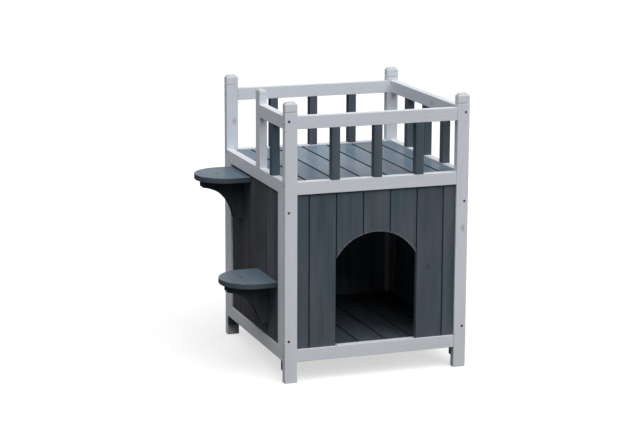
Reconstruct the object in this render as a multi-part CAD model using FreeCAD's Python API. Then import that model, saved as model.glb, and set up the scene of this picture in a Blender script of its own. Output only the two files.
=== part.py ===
import FreeCAD, Part
import math
import os

# A wooden cat house: a boarded cabin with an arched doorway, a railed balcony on its roof,
# and two D-shaped steps on brackets up its left wall. Millimetres, +Z up, front towards -Y.

# Overall sizes
house_w = 502.0            # across the front, over the posts
house_d = 518.0            # front to back, over the posts
house_h = 730.0            # floor to the tip of the posts

# Frame timber
post_w = 33.0              # post width seen from the front
frame_t = 21.0             # thickness of posts, rails and side walls
rail_h = 33.0
stile_w = 36.0
edge_ease = 1.5            # narrow bevel along the long edges
rail_set_back = 1.5        # front and back rails stand behind the posts' faces
bottom_rail_z = 54.7       # undersides of the rails
deck_rail_z = 491.6
post_above_rail = 37.3     # from the top rails to the posts' tips

# Post tops
cap_h = 8.0
cap_inset = 7.5
ring_drop = 18.5           # V-groove below the cap
ring_half_w = 1.6
ring_depth = 1.5

# Gate post on the left deck rail
gate_post_from_front = 207.0
gate_tenon_t = 9.0
gate_tenon_w = 20.0
gate_tenon_l = 14.0
gate_cap_round = 5.0

# Balusters
baluster_w = 22.0
balusters_per_rail = 3

# Tongued and grooved boards
board_t = 11.0
board_pitch = 73.6
board_reveal = 1.2         # open joint between two boards' faces
board_chamfer = 1.8
tongue_t = 4.0
tongue_l = 5.0
tongue_play = 0.2
housing_depth = 7.0        # grooves in the frame that hold the boards
housing_play = 0.25
board_end_gap = 0.5
deck_drop = 2.5            # deck and floor lie this far below their rails' tops
batten_w = 20.0
batten_h = 18.0

# Doorway
door_boards = 3            # the doorway is this many boards wide
door_top_z = 381.0
door_arch_rise = 66.0

# Steps and brackets on the left wall
step_w = 164.0
step_reach = 130.0         # from the wall boards to the nose
step_t = 15.0
step_edge_ease = 2.0
upper_step_z = 485.0       # top faces
lower_step_z = 250.0
upper_step_gap = 1.0       # to the back stile
lower_step_room = 5.0      # least gap to the front stile
lower_step_lead = 7.6      # its middle is this far in front of a board joint
bracket_t = 33.0
bracket_reach = 113.0
bracket_h = 109.0
bracket_foot = 25.0
bracket_nose_h = 20.0
bracket_curve = 100.0      # radius of the concave underside

# Rest blocks under the side walls
rest_block_h = 25.0

# Screws
screw_d = 3.8
screw_head_d = 7.0
screw_head_h = 2.4
screw_sink = 1.2           # head below the wood's face
screw_sides = 8            # screws and their holes have this many flats
screw_play = 0.15
screw_bite = 25.0          # length in the piece that it holds
wall_screw_bite = 20.0
screw_pair_half = 4.0      # crossing screws in a post are this far above and below the rail's middle
deck_screw_raise = 6.0
bottom_screw_drop = 3.0
panel_screw_high_gap = 45.0
panel_screw_low_gap = 23.0
step_screw_out = 66.0      # from the left face of the house
step_screw_half = 50.0
bracket_screw_inset = 26.0
bracket_screw_side = 9.0   # to one side of the bracket's middle, clear of the joint behind it

# Places that follow from the sizes above
board_recess = (frame_t - board_t) / 2
step_out = step_reach - board_recess
x_left = (step_out - house_w) / 2
x_right = x_left + house_w
x_mid = (x_left + x_right) / 2
y_front = -house_d / 2
y_back = house_d / 2
rail_x0 = x_left + post_w
rail_x1 = x_right - post_w
rail_y0 = y_front + frame_t
rail_y1 = y_back - frame_t
stile_y0 = rail_y0 + stile_w
stile_y1 = rail_y1 - stile_w
top_rail_z = house_h - post_above_rail - rail_h
wall_z0 = bottom_rail_z + rail_h
wall_z1 = deck_rail_z
deck_rail_top = deck_rail_z + rail_h
deck_top = deck_rail_top - deck_drop
floor_top = wall_z0 - deck_drop
front_face = y_front + rail_set_back
back_face = y_back - rail_set_back
deck_y0 = front_face + frame_t
deck_y1 = back_face - frame_t
deck_x0 = x_left + frame_t
deck_x1 = x_right - frame_t
gate_y0 = y_front + gate_post_from_front
gate_y1 = gate_y0 + post_w
left_board_face = x_left + board_recess
door_half = door_boards * board_pitch / 2 + board_reveal / 2
upper_step_y = stile_y1 - upper_step_gap - step_w / 2
lower_step_back = step_w / 2 + lower_step_room + lower_step_lead
boards_behind = math.floor((stile_y1 - stile_y0 - lower_step_back) / board_pitch)
lower_step_y = stile_y1 - boards_behind * board_pitch - lower_step_lead

nodes = {}


def vec(x, y, z):
    return FreeCAD.Vector(x, y, z)


def block(x0, x1, y0, y1, z0, z1):
    return Part.makeBox(x1 - x0, y1 - y0, z1 - z0, vec(x0, y0, z0))


def along(edge, axis):
    """True when a straight edge runs along the given unit axis."""
    run = edge.Vertexes[1].Point - edge.Vertexes[0].Point
    return abs(run.dot(axis)) > run.Length * 0.999


def timber(x0, x1, y0, y1, z0, z1, axis):
    """A planed length of timber with its four long edges eased."""
    bar = block(x0, x1, y0, y1, z0, z1)
    return bar.makeChamfer(edge_ease, [edge for edge in bar.Edges if along(edge, axis)])


X_AXIS = vec(1, 0, 0)
Y_AXIS = vec(0, 1, 0)
Z_AXIS = vec(0, 0, 1)


def rectangle(x0, x1, y0, y1, z):
    corners = [vec(x0, y0, z), vec(x1, y0, z), vec(x1, y1, z), vec(x0, y1, z)]
    return Part.makePolygon(corners + corners[:1])


def corner_post(x0, x1, y0, y1):
    """A post with eased edges, a V-groove round it and a chamfered top."""
    shoulder = house_h - cap_h
    shaft = timber(x0, x1, y0, y1, 0, house_h, Z_AXIS)
    outline = block(x0, x1, y0, y1, 0, shoulder)
    foot = rectangle(x0, x1, y0, y1, shoulder)
    tip = rectangle(x0 + cap_inset, x1 - cap_inset, y0 + cap_inset, y1 - cap_inset, house_h)
    outline = outline.fuse(Part.makeLoft([foot, tip], True, True))
    ring = ring_cutter(x0, x1, y0, y1, shoulder - ring_drop)
    return shaft.common(outline).cut(ring).removeSplitter()


def ring_cutter(x0, x1, y0, y1, z):
    """What the V-groove takes away: a plate round the post less its waisted core."""
    plate = block(x0, x1, y0, y1, z - ring_half_w, z + ring_half_w)
    low = rectangle(x0, x1, y0, y1, z - ring_half_w)
    waist = rectangle(x0 + ring_depth, x1 - ring_depth, y0 + ring_depth, y1 - ring_depth, z)
    high = rectangle(x0, x1, y0, y1, z + ring_half_w)
    core = Part.makeLoft([low, waist], True, True).fuse(Part.makeLoft([waist, high], True, True))
    return plate.cut(core)


def round_topped_post(x0, x1, y0, y1, z0):
    """A short post with eased edges and a softly rounded top."""
    post = timber(x0, x1, y0, y1, z0, house_h, Z_AXIS)
    for axis in (X_AXIS, Y_AXIS):
        bar = block(x0, x1, y0, y1, z0, house_h)
        top = [edge for edge in bar.Edges if along(edge, axis) and edge.BoundBox.ZMin > z0 + edge_ease]
        post = post.common(bar.makeFillet(gate_cap_round, top))
    return post


# Board edges as (outward, depth) pairs from the face to the back
tongue_v0 = (board_t - tongue_t) / 2
tongue_v1 = tongue_v0 + tongue_t
groove_l = tongue_l - board_reveal + board_end_gap
EDGES = {
    "plain": [(0, 0), (0, board_t)],
    "tongue": [(-board_chamfer, 0), (0, board_chamfer), (0, tongue_v0), (tongue_l, tongue_v0),
               (tongue_l, tongue_v1), (0, tongue_v1), (0, board_t)],
    "groove": [(-board_chamfer, 0), (0, board_chamfer), (0, tongue_v0 - tongue_play),
               (-groove_l, tongue_v0 - tongue_play), (-groove_l, tongue_v1 + tongue_play),
               (0, tongue_v1 + tongue_play), (0, board_t)],
}


def board(u0, u1, low_edge, high_edge, place, w0, w1):
    """One board: u runs across it, v from its face to its back, w along its length."""
    outline = [(u1 + out, v) for out, v in EDGES[high_edge]]
    outline += [(u0 - out, v) for out, v in reversed(EDGES[low_edge])]
    points = [place(u, v, w0) for u, v in outline]
    face = Part.Face(Part.makePolygon(points + points[:1]))
    return face.extrude(place(0, 0, w1) - place(0, 0, w0))


def board_run(u0, u1, first_joint, place, w0, w1):
    """Boards side by side from u0 to u1, with tongues that point to the middle of the run."""
    joints = []
    joint = first_joint
    while joint < u1 - board_chamfer - tongue_l:
        if joint > u0 + board_chamfer + tongue_l:
            joints.append(joint)
        joint += board_pitch
    middle = (u0 + u1) / 2
    boards = []
    for low, high in zip([None] + joints, joints + [None]):
        low_u = u0 if low is None else low + board_reveal / 2
        high_u = u1 if high is None else high - board_reveal / 2
        low_edge = "plain" if low is None else "groove" if low < middle else "tongue"
        high_edge = "plain" if high is None else "tongue" if high < middle else "groove"
        boards.append(board(low_u, high_u, low_edge, high_edge, place, w0, w1))
    return boards


def on_front(u, v, w):
    return vec(u, front_face + board_recess + v, w)


def on_back(u, v, w):
    return vec(u, back_face - board_recess - v, w)


def on_left(u, v, w):
    return vec(x_left + board_recess + v, u, w)


def on_right(u, v, w):
    return vec(x_right - board_recess - v, u, w)


def on_deck(u, v, w):
    return vec(u, w, deck_top - v)


def on_floor(u, v, w):
    return vec(u, w, floor_top - v)


def housing(place, u0, u1, w0, w1):
    """The groove that a run of boards takes in its frame."""
    a = place(u0, -housing_play, w0)
    b = place(u1, board_t + housing_play, w1)
    return block(min(a.x, b.x), max(a.x, b.x), min(a.y, b.y), max(a.y, b.y), a.z, b.z)


def cut_from(names, cutter):
    for name in names:
        nodes[name] = nodes[name].cut(cutter)


# Posts
for end, y0 in (("front", y_front), ("back", rail_y1)):
    for side, x0 in (("left", x_left), ("right", rail_x1)):
        nodes[f"post_{end}_{side}"] = corner_post(x0, x0 + post_w, y0, y0 + frame_t)

# Gate post, tenoned into the left deck rail
tenon_x = x_left + frame_t / 2
tenon_y = (gate_y0 + gate_y1) / 2
tenon = block(tenon_x - gate_tenon_t / 2, tenon_x + gate_tenon_t / 2,
              tenon_y - gate_tenon_w / 2, tenon_y + gate_tenon_w / 2,
              deck_rail_top - gate_tenon_l, deck_rail_top)
gate_shaft = round_topped_post(x_left, x_left + frame_t, gate_y0, gate_y1, deck_rail_top)
nodes["gate_post"] = gate_shaft.fuse(tenon).removeSplitter()
mortise = block(tenon_x - gate_tenon_t / 2 - housing_play, tenon_x + gate_tenon_t / 2 + housing_play,
                tenon_y - gate_tenon_w / 2 - housing_play, tenon_y + gate_tenon_w / 2 + housing_play,
                deck_rail_top - gate_tenon_l - board_end_gap, deck_rail_top)

# Rails: front and back between the posts, sides between the front and back posts
RAIL_LEVELS = {"bottom": bottom_rail_z, "deck": deck_rail_z, "top": top_rail_z}
for level, z in RAIL_LEVELS.items():
    for end, y0 in (("front", front_face), ("back", deck_y1)):
        nodes[f"{end}_{level}_rail"] = timber(rail_x0, rail_x1, y0, y0 + frame_t, z, z + rail_h, X_AXIS)
    for side, x0 in (("left", x_left), ("right", deck_x1)):
        y1 = gate_y0 if (side, level) == ("left", "top") else rail_y1
        nodes[f"{side}_{level}_rail"] = timber(x0, x0 + frame_t, rail_y0, y1, z, z + rail_h, Y_AXIS)
cut_from(["left_deck_rail"], mortise)

# Stiles of the side walls, between the bottom and deck rails
for side, x0 in (("left", x_left), ("right", deck_x1)):
    for end, y0 in (("front", rail_y0), ("back", stile_y1)):
        stile = timber(x0, x0 + frame_t, y0, y0 + stile_w, wall_z0, wall_z1, Z_AXIS)
        nodes[f"{side}_stile_{end}"] = stile


# Balusters, evenly spaced between the uprights
def evenly(lo, hi, count):
    gap = (hi - lo - count * baluster_w) / (count + 1)
    return [lo + gap + i * (gap + baluster_w) for i in range(count)]


def baluster(x0, x1, y0, y1):
    return timber(x0, x1, y0, y1, deck_rail_top, top_rail_z, Z_AXIS)


for i, x0 in enumerate(evenly(rail_x0, rail_x1, balusters_per_rail), 1):
    nodes[f"baluster_front_{i}"] = baluster(x0, x0 + baluster_w, front_face, deck_y0)
    nodes[f"baluster_back_{i}"] = baluster(x0, x0 + baluster_w, deck_y1, back_face)
for i, y0 in enumerate(evenly(rail_y0, rail_y1, balusters_per_rail), 1):
    nodes[f"baluster_right_{i}"] = baluster(deck_x1, x_right, y0, y0 + baluster_w)
left_baluster_y = evenly(rail_y0, gate_y0, 1)[0]
nodes["baluster_left"] = baluster(x_left, deck_x0, left_baluster_y, left_baluster_y + baluster_w)

# Wall boards, housed in grooves of the frame
board_in = housing_depth - board_end_gap
board_z0 = wall_z0 - board_in
board_z1 = wall_z1 + board_in
end_first_joint = x_mid - board_pitch * (math.ceil((rail_x1 - rail_x0) / board_pitch / 2) + 0.5)
side_first_joint = stile_y1 - board_pitch * math.ceil((stile_y1 - stile_y0) / board_pitch)

end_span = (rail_x0 - board_in, rail_x1 + board_in)
side_span = (stile_y0 - board_in, stile_y1 + board_in)
front_boards = board_run(*end_span, end_first_joint, on_front, board_z0, board_z1)
back_boards = board_run(*end_span, end_first_joint, on_back, board_z0, board_z1)
left_boards = board_run(*side_span, side_first_joint, on_left, board_z0, board_z1)
right_boards = board_run(*side_span, side_first_joint, on_right, board_z0, board_z1)

# Doorway: straight jambs under a segmental arch
spring_z = door_top_z - door_arch_rise
door_low = board_z0 - board_end_gap
door_x0 = x_mid - door_half
door_x1 = x_mid + door_half
arch = Part.Arc(vec(door_x1, 0, spring_z), vec(x_mid, 0, door_top_z), vec(door_x0, 0, spring_z))
door_wire = Part.Wire([
    Part.makeLine(vec(door_x0, 0, spring_z), vec(door_x0, 0, door_low)),
    Part.makeLine(vec(door_x0, 0, door_low), vec(door_x1, 0, door_low)),
    Part.makeLine(vec(door_x1, 0, door_low), vec(door_x1, 0, spring_z)),
    arch.toShape(),
])
door_hole = Part.Face(door_wire).extrude(vec(0, frame_t, 0))
door_hole.translate(vec(0, front_face, 0))
front_boards = [piece.cut(door_hole) for piece in front_boards]
for i, piece in enumerate(front_boards, 1):
    nodes[f"front_board_{i}"] = piece
front_half = math.ceil(len(left_boards) / 2)
for i, piece in enumerate(left_boards[:front_half], 1):
    nodes[f"left_board_front_{i}"] = piece
for i, piece in enumerate(reversed(left_boards[front_half:]), 1):
    nodes[f"left_board_back_{i}"] = piece

# Grooves in the frame: none in the bottom rail across the doorway
groove_z0 = wall_z0 - housing_depth
groove_z1 = wall_z1 + housing_depth
groove_x0 = rail_x0 - housing_depth
groove_x1 = rail_x1 + housing_depth
front_frame = ["post_front_left", "post_front_right", "front_bottom_rail", "front_deck_rail"]
cut_from(front_frame, housing(on_front, groove_x0, door_x0, groove_z0, groove_z1))
cut_from(front_frame, housing(on_front, door_x1, groove_x1, groove_z0, groove_z1))
cut_from(["front_deck_rail"], housing(on_front, door_x0, door_x1, spring_z, groove_z1))
back_frame = ["post_back_left", "post_back_right", "back_bottom_rail", "back_deck_rail"]
cut_from(back_frame, housing(on_back, groove_x0, groove_x1, groove_z0, groove_z1))
for side, place in (("left", on_left), ("right", on_right)):
    side_frame = [f"{side}_stile_front", f"{side}_stile_back", f"{side}_bottom_rail", f"{side}_deck_rail"]
    span = (stile_y0 - housing_depth, stile_y1 + housing_depth)
    cut_from(side_frame, housing(place, *span, groove_z0, groove_z1))

# Deck and floor boards, on battens along the front and back rails
across = (deck_x0 + board_end_gap, deck_x1 - board_end_gap)
lengthways = (deck_y0 + board_end_gap, deck_y1 - board_end_gap)
deck_boards = board_run(*across, end_first_joint, on_deck, *lengthways)
floor_boards = board_run(*across, end_first_joint, on_floor, *lengthways)


def battens(top):
    low = top - batten_h
    return [block(*across, deck_y0, deck_y0 + batten_w, low, top),
            block(*across, deck_y1 - batten_w, deck_y1, low, top)]


deck_battens = battens(deck_top - board_t)
floor_battens = battens(floor_top - board_t)

# Rest blocks behind the legs, under the side walls' bottom rails
rest_blocks = []
rest_z0 = bottom_rail_z - rest_block_h
for x0 in (x_left, rail_x1):
    for y0 in (rail_y0, rail_y1 - board_t):
        rest_blocks.append(block(x0, x0 + post_w, y0, y0 + board_t, rest_z0, bottom_rail_z))


# Steps and brackets
def step(y, top):
    """A D-shaped plank: straight at the wall, a half round at its nose."""
    radius = step_w / 2
    wall = left_board_face
    round_x = wall - step_reach + radius
    nose = Part.Arc(vec(round_x, y + radius, 0), vec(round_x - radius, y, 0), vec(round_x, y - radius, 0))
    wire = Part.Wire([
        Part.makeLine(vec(round_x, y - radius, 0), vec(wall, y - radius, 0)),
        Part.makeLine(vec(wall, y - radius, 0), vec(wall, y + radius, 0)),
        Part.makeLine(vec(wall, y + radius, 0), vec(round_x, y + radius, 0)),
        nose.toShape(),
    ])
    plank = Part.Face(wire).extrude(vec(0, 0, step_t))
    plank.translate(vec(0, 0, top - step_t))
    level = [edge for edge in plank.Edges if edge.BoundBox.ZLength < step_t / 2]
    rim = [edge for edge in level if edge.BoundBox.XMin < wall - step_edge_ease]
    return plank.makeChamfer(step_edge_ease, rim)


def bracket(y, top):
    """A corbel: a nose under the step, a concave curve and a foot against the wall."""
    wall = left_board_face
    nose_x = wall - bracket_reach
    low = top - bracket_h
    nose_z = top - bracket_nose_h
    foot_x = wall - bracket_foot
    middle = vec((nose_x + foot_x) / 2, 0, (nose_z + low) / 2)
    chord = vec(foot_x - nose_x, 0, low - nose_z)
    sag = bracket_curve - math.sqrt(bracket_curve ** 2 - chord.Length ** 2 / 4)
    inward = vec(-chord.z, 0, chord.x).normalize()
    curve = Part.Arc(vec(nose_x, 0, nose_z), middle + inward * sag, vec(foot_x, 0, low))
    wire = Part.Wire([
        Part.makeLine(vec(foot_x, 0, low), vec(wall, 0, low)),
        Part.makeLine(vec(wall, 0, low), vec(wall, 0, top)),
        Part.makeLine(vec(wall, 0, top), vec(nose_x, 0, top)),
        Part.makeLine(vec(nose_x, 0, top), vec(nose_x, 0, nose_z)),
        curve.toShape(),
    ])
    corbel = Part.Face(wire).extrude(vec(0, bracket_t, 0))
    corbel.translate(vec(0, y - bracket_t / 2, 0))
    return corbel


STEPS = {"upper": (upper_step_y, upper_step_z), "lower": (lower_step_y, lower_step_z)}
for name, (y, top) in STEPS.items():
    nodes[f"{name}_step"] = step(y, top)
    nodes[f"{name}_bracket"] = bracket(y, top - step_t)


# Screws: a head sunk in a counterbore, and a plain shank
def faceted_rod(at, direction, radius, length):
    """A rod along one of the axes, with a few flats for its round."""
    side = vec(direction.y, direction.z, direction.x)
    up = direction.cross(side)
    turns = [2 * math.pi * (i + 0.5) / screw_sides for i in range(screw_sides)]
    corners = [at + side * (radius * math.cos(turn)) + up * (radius * math.sin(turn)) for turn in turns]
    return Part.Face(Part.makePolygon(corners + corners[:1])).extrude(direction * length)


def screw(at, direction, length):
    seat = at + direction * (screw_sink + screw_head_h)
    head = faceted_rod(at + direction * screw_sink, direction, screw_head_d / 2, screw_head_h)
    return head.fuse(faceted_rod(seat, direction, screw_d / 2, length))


def screw_hole(at, direction, length):
    head_room = screw_sink + screw_head_h
    bore = faceted_rod(at, direction, screw_head_d / 2 + screw_play, head_room)
    end = length + board_end_gap
    return bore.fuse(faceted_rod(at + direction * head_room, direction, screw_d / 2 + screw_play, end))


def drive(group, at, direction, through, bite, names):
    """Puts a screw in a group and its hole in the pieces that it passes through."""
    length = through + bite - screw_sink - screw_head_h
    group.append(screw(at, direction, length))
    cut_from(names, screw_hole(at, direction, length))


panel_screws = []
rail_screws = []
step_screws = []
wall_screws = []
top_middle = top_rail_z + rail_h / 2
for side, x, inward in (("left", x_left, X_AXIS), ("right", x_right, X_AXIS * -1)):
    panel_x = x + inward.x * frame_t / 2
    for end, y, back in (("front", y_front, Y_AXIS), ("back", y_back, Y_AXIS * -1)):
        post = f"post_{end}_{side}"
        stile = f"{side}_stile_{end}"
        for z in (wall_z1 - panel_screw_high_gap, wall_z0 + panel_screw_low_gap):
            drive(panel_screws, vec(panel_x, y, z), back, frame_t, screw_bite, [post, stile])
        if (side, end) != ("left", "back"):
            z = top_middle + screw_pair_half
            drive(panel_screws, vec(panel_x, y, z), back, frame_t, screw_bite, [post, f"{side}_top_rail"])
        rail_y = y + back.y * (rail_set_back + frame_t / 2)
        rail_screw_z = {
            "bottom": bottom_rail_z + rail_h / 2 - bottom_screw_drop,
            "deck": deck_rail_z + rail_h / 2 + deck_screw_raise,
            "top": top_middle - screw_pair_half,
        }
        for level, z in rail_screw_z.items():
            drive(rail_screws, vec(x, rail_y, z), inward, post_w, screw_bite, [post, f"{end}_{level}_rail"])
gate_screw_at = vec(x_left + frame_t / 2, gate_y1, top_middle)
drive(rail_screws, gate_screw_at, Y_AXIS * -1, post_w, screw_bite, ["gate_post", "left_top_rail"])

left_wall = [name for name in nodes if name.startswith("left_board_")]
inner_x = left_board_face + board_t
for name, (y, top) in STEPS.items():
    plank = f"{name}_step"
    corbel = f"{name}_bracket"
    at = vec(x_left - step_screw_out, y, top)
    drive(step_screws, at, Z_AXIS * -1, step_t, wall_screw_bite, [plank, corbel])
    for offset in (-step_screw_half, step_screw_half):
        at = vec(inner_x, y + offset, top - step_t / 2)
        drive(wall_screws, at, X_AXIS * -1, board_t, wall_screw_bite, left_wall + [plank])
    corbel_top = top - step_t
    for z in (corbel_top - bracket_screw_inset, corbel_top - bracket_h + bracket_screw_inset):
        at = vec(inner_x, y - bracket_screw_side, z)
        drive(wall_screws, at, X_AXIS * -1, board_t, wall_screw_bite, left_wall + [corbel])

GROUPS = {
    "right_wall_boards": right_boards,
    "back_wall_boards": back_boards,
    "deck_boards": deck_boards,
    "floor_boards": floor_boards,
    "deck_battens": deck_battens,
    "floor_battens": floor_battens,
    "rest_blocks": rest_blocks,
    "panel_screws": panel_screws,
    "rail_screws": rail_screws,
    "step_screws": step_screws,
    "wall_screws": wall_screws,
}
for name, pieces in GROUPS.items():
    nodes[name] = Part.makeCompound(pieces)

os.makedirs("parts", exist_ok=True)
for name, shape in nodes.items():
    shape.exportStep(f"parts/{name}.step")
print(len(nodes), "nodes")
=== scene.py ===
# %% [markdown]
# # Dressing a wooden cat house
# The CAD frame gives every timber its size and place. This lesson models the same timbers again as
# planed and softened wood, gives them paint, stain and metal made of nodes, and sets up a studio.

# %% Load the frame
import math
import random
import bmesh
import bpy
from mathutils import Matrix, Vector


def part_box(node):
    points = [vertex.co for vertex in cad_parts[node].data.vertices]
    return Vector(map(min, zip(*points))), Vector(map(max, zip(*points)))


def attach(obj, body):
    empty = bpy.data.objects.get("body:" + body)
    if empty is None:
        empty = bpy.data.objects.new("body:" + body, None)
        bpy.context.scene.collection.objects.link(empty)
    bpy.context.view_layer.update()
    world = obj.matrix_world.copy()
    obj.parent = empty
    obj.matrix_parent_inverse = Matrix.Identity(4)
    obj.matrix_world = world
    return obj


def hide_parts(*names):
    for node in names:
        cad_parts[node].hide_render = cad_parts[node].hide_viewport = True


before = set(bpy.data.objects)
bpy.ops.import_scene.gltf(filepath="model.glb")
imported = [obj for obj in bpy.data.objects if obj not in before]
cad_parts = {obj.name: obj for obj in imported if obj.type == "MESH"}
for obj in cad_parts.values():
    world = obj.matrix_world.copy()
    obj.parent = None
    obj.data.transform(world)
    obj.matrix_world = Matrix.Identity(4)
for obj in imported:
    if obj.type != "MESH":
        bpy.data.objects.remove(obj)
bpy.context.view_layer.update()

# %% [markdown]
# ## Working on a mesh by hand, in code
# Modelling by hand is a round of three moves: pick some vertices, edges or faces, run an operator on
# them, and look. Operators act on whatever is selected, so each helper first clears the selection and
# then picks by place or direction. That keeps a step from touching the piece modelled before it.

# %% Helpers to select and edit
MM = 0.001
NEAR = 0.05 * MM
ALIGNED = 0.99
AXES = {"X": Vector((1, 0, 0)), "Y": Vector((0, 1, 0)), "Z": Vector((0, 0, 1))}


def put_down():
    bpy.ops.object.select_all(action="DESELECT")


def only(piece):
    """Makes one object the selected and active one."""
    put_down()
    piece.select_set(True)
    bpy.context.view_layer.objects.active = piece


def edit(piece):
    only(piece)
    bpy.ops.object.mode_set(mode="EDIT")


def done():
    bpy.ops.object.mode_set(mode="OBJECT")


def pick(piece, kind, test):
    """Selects the vertices, edges or faces that pass a test, in edit mode."""
    bpy.ops.mesh.select_mode(type=kind)
    bpy.ops.mesh.select_all(action="DESELECT")
    mesh = bmesh.from_edit_mesh(piece.data)
    for item in {"VERT": mesh.verts, "EDGE": mesh.edges, "FACE": mesh.faces}[kind]:
        if test(item):
            item.select_set(True)
    bmesh.update_edit_mesh(piece.data)


def runs_along(edge, axis):
    span = edge.verts[1].co - edge.verts[0].co
    return abs(span.dot(axis)) > ALIGNED * span.length


def middle(edge):
    return (edge.verts[0].co + edge.verts[1].co) / 2


def soften(piece, test, offset, segments):
    """Bevels the edges of a piece that pass a test."""
    edit(piece)
    pick(piece, "EDGE", test)
    bpy.ops.mesh.bevel(offset=offset, segments=segments, affect="EDGES")
    done()


def slice_at(place, normal, **options):
    """Cuts a loop of edges right through the mesh, in edit mode."""
    bpy.ops.mesh.select_all(action="SELECT")
    bpy.ops.mesh.bisect(plane_co=place, plane_no=normal, **options)


def corners(points):
    lo = Vector([min(p[i] for p in points) for i in range(3)])
    hi = Vector([max(p[i] for p in points) for i in range(3)])
    return lo, hi


def box_of(piece):
    return corners([vertex.co for vertex in piece.data.vertices])


print("a piece is taken up by", edit.__name__, "and put down by", done.__name__)

# %% [markdown]
# ## Starting shapes, cuts and copies
# Every piece starts as a cube or a cylinder at its own size and place. Holes and grooves are Booleans,
# because their cutters are simple and their places exact. A shape that comes again is copied from a
# pattern, as a workshop sets its machine once and then runs all pieces of that size.

# %% Start, cut, copy and join
PATTERNS = {}


def cube(name, lo, hi):
    """A box from corner to corner, with its object at the origin."""
    put_down()
    bpy.ops.mesh.primitive_cube_add(size=1, location=(lo + hi) / 2, scale=hi - lo)
    bpy.ops.object.transform_apply()
    made = bpy.context.object
    made.name = name
    return made


def rod(name, start, end, radius, sides):
    """A cylinder from one point to another, with its object at the origin."""
    run = end - start
    turn = run.to_track_quat("Z", "Y").to_euler()
    put_down()
    bpy.ops.mesh.primitive_cylinder_add(vertices=sides, radius=radius, depth=run.length,
                                        location=(start + end) / 2, rotation=turn)
    bpy.ops.object.transform_apply()
    made = bpy.context.object
    made.name = name
    return made


def cut(piece, cutter, operation="DIFFERENCE"):
    """Takes the cutter's shape out of a piece, or adds it with UNION, and throws the cutter away."""
    only(piece)
    boolean = piece.modifiers.new("cut", "BOOLEAN")
    boolean.object = cutter
    boolean.operation = operation
    boolean.solver = "EXACT"
    bpy.ops.object.modifier_apply(modifier="cut")
    bpy.data.objects.remove(cutter)


def copied(pattern, name, shift):
    """A copy of a piece with a mesh of its own, moved by a shift."""
    only(pattern)
    bpy.ops.object.duplicate()
    made = bpy.context.object
    made.name = name
    made.location = shift
    bpy.ops.object.transform_apply()
    return made


def from_pattern(name, kind, lo, hi, make):
    """Copies the pattern of this kind and size, which is modelled the first time that it is asked for."""
    key = (kind, *(round(v / NEAR) for v in hi - lo))
    if key not in PATTERNS:
        PATTERNS[key] = (make(lo, hi), lo)
    pattern, first = PATTERNS[key]
    return copied(pattern, name, lo - first)


def join(name, pieces):
    """Joins several meshes into one object with a new name."""
    put_down()
    for piece in pieces:
        piece.select_set(True)
    bpy.context.view_layer.objects.active = pieces[0]
    bpy.ops.object.join()
    pieces[0].name = name
    return pieces[0]


print("starting shapes:", cube.__name__, "and", rod.__name__)

# %% [markdown]
# ## Shader maths written as Python
# A node tree is easier to read as a formula. This small class holds one output socket, and each
# operator adds the Math node that it stands for. Every other kind of node comes from one method.

# %% A socket that understands plus and times
class Flow:
    """A value on its way through the nodes of one material."""

    def __init__(self, tree, socket=None):
        self.tree = tree
        self.socket = socket

    def node(self, kind, settings=None, inputs=None, output=0):
        made = self.tree.nodes.new("ShaderNode" + kind)
        for name, value in (settings or {}).items():
            setattr(made, name, value)
        for name, value in (inputs or {}).items():
            if isinstance(value, Flow):
                self.tree.links.new(value.socket, made.inputs[name])
            else:
                made.inputs[name].default_value = value
        return Flow(self.tree, made.outputs[output])

    def other(self, output):
        """Another output of the same node."""
        return Flow(self.tree, self.socket.node.outputs[output])

    def into(self, shader, socket):
        self.tree.links.new(self.socket, shader.inputs[socket])

    def math(self, operation, a, b=0.0):
        return self.node("Math", {"operation": operation}, {0: a, 1: b})

    def __add__(self, b):
        return self.math("ADD", self, b)

    def __sub__(self, b):
        return self.math("SUBTRACT", self, b)

    def __rsub__(self, b):
        return self.math("SUBTRACT", b, self)

    def __mul__(self, b):
        return self.math("MULTIPLY", self, b)

    def __pow__(self, b):
        return self.math("POWER", self, b)

    __radd__ = __add__
    __rmul__ = __mul__

    def ease(self, low, high):
        """Rises smoothly from 0 at low to 1 at high."""
        inputs = {"Value": self, "From Min": low, "From Max": high}
        return self.node("MapRange", {"interpolation_type": "SMOOTHSTEP"}, inputs)

    def blend(self, a, b):
        """Colour a where this value is 0, and colour b where it is 1."""
        return self.node("Mix", {"data_type": "RGBA"}, {0: self, 6: a, 7: b}, output=2)

    def vector(self, x, y, z):
        return self.node("CombineXYZ", None, {0: x, 1: y, 2: z})

    def noise(self, place, detail=2.0, roughness=0.5):
        inputs = {"Vector": place, "Scale": 1.0, "Detail": detail, "Roughness": roughness}
        return self.node("TexNoise", None, inputs)


def new_material(name, flat):
    """A material, its shader with the values that are flat all over, and a start for its nodes."""
    material = bpy.data.materials.new(name)
    material.use_nodes = True
    shader = material.node_tree.nodes["Principled BSDF"]
    for socket, value in flat.items():
        shader.inputs[socket].default_value = value
    return material, shader, Flow(material.node_tree)


print("shader maths ready")

# %% [markdown]
# ## Wood that goes right through
# Real boards are slices of a log, so the rings on a face, an edge and an end belong together. A solid
# texture gives that: the distance from the log's heart, cut into rings, seen wherever the surface is.
# Each board carries three attributes, the place of its log's heart, the place of one knot and its own
# tone, so that no two boards show the same grain. Fibre, streaks and patches are noise drawn out along
# the grain, and the rates say how often each changes in a metre, across the grain and along it.

# %% Grain of a log, as node values
RING_GAP = 5.2 * MM
KNOT_SIZE = 8.0 * MM
KNOT_RATE = 260
KNOT_STRETCH = 0.6
SWAY = 14 * MM
BULGE = 9 * MM
RATES = {"sway": (9, 2.6), "fibre": (620, 16), "streak": (46, 3.2), "mottle": (19, 7), "hue": (8, 3)}


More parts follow.
